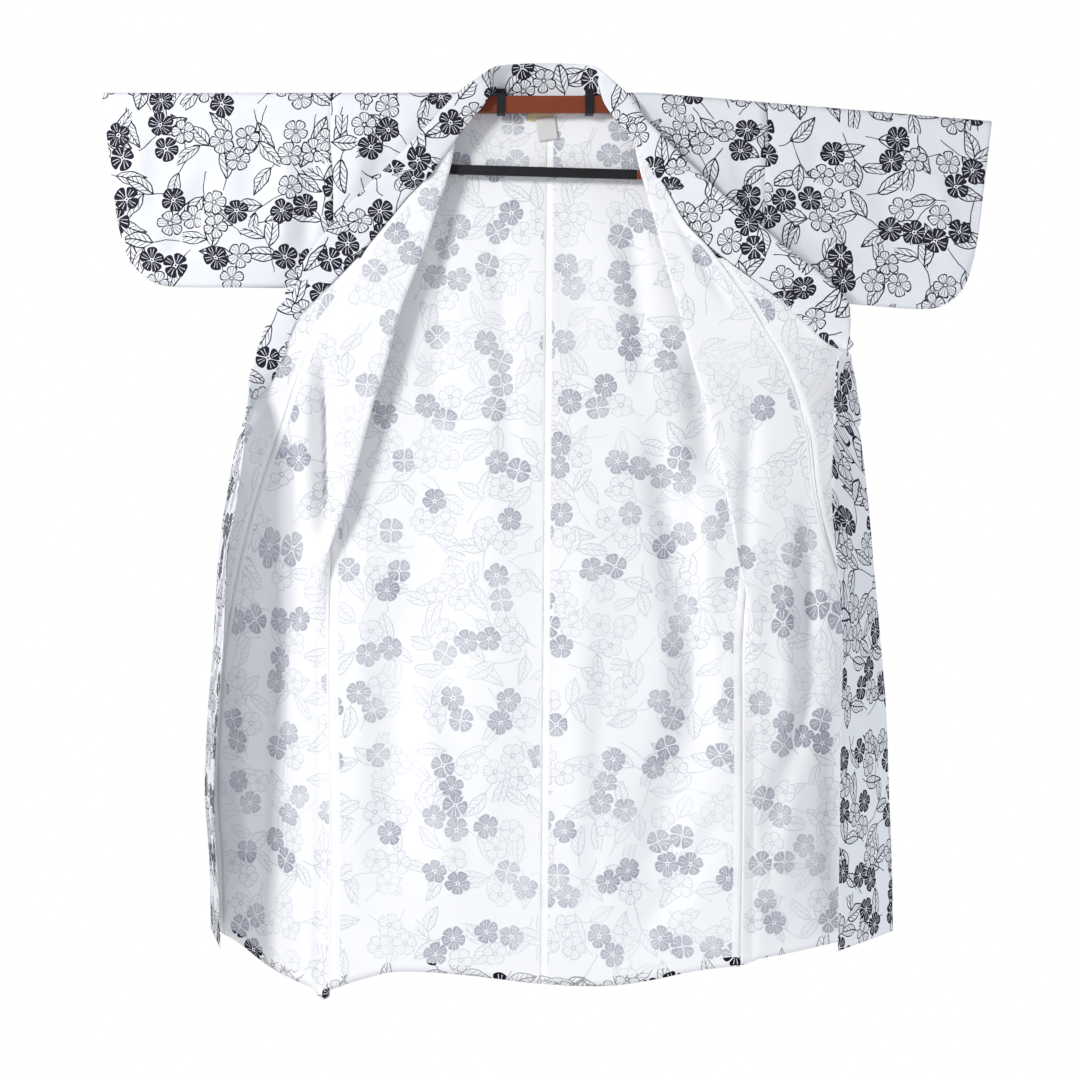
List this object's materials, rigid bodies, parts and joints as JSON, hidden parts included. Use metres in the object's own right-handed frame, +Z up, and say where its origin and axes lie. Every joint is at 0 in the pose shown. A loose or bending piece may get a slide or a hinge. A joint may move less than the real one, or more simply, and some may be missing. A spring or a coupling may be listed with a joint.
{
  "type": "cotton yukata robe on a bar hanger",
  "caption": "A flat-cut cotton robe with wide sleeves and a long collar, hung on a flat bar hanger with both fronts folded open so the inside shows.",
  "frame": {"origin": "the middle of the top edge of the hanger's main bar, which is where the hanger is held", "axes": "+X to the wearer's left along the bar, +Y from the opening to the back of the robe, +Z up"},
  "size_m": [1.2966, 0.1992, 1.3742],
  "materials": {
    "cotton_print": "plain-woven cotton, printed with a dark flower and leaf pattern on its face, matt",
    "label_cream": "woven cream label, matt",
    "label_white": "woven white label, matt",
    "hanger_brown": "moulded red-brown plastic, satin",
    "hanger_black": "moulded black plastic, soft sheen"
  },
  "bodies": {
    "root": {"back_left": "cotton_print", "back_right": "cotton_print", "front_left": "cotton_print", "front_right": "cotton_print", "okumi_left": "cotton_print", "okumi_right": "cotton_print", "sleeve_left": "cotton_print", "sleeve_right": "cotton_print", "collar": "cotton_print", "label_brand": "label_cream", "label_care": "label_white", "hanger_bar": "hanger_brown", "hanger_arm_left": "hanger_brown", "hanger_arm_right": "hanger_brown", "hanger_strut_left": "hanger_brown", "hanger_strut_right": "hanger_brown", "lower_rod": "hanger_black", "lower_rod_end_left": "hanger_brown", "lower_rod_end_right": "hanger_brown", "hanger_clip_left": "hanger_black", "hanger_clip_right": "hanger_black"}
  },
  "joints": []
}
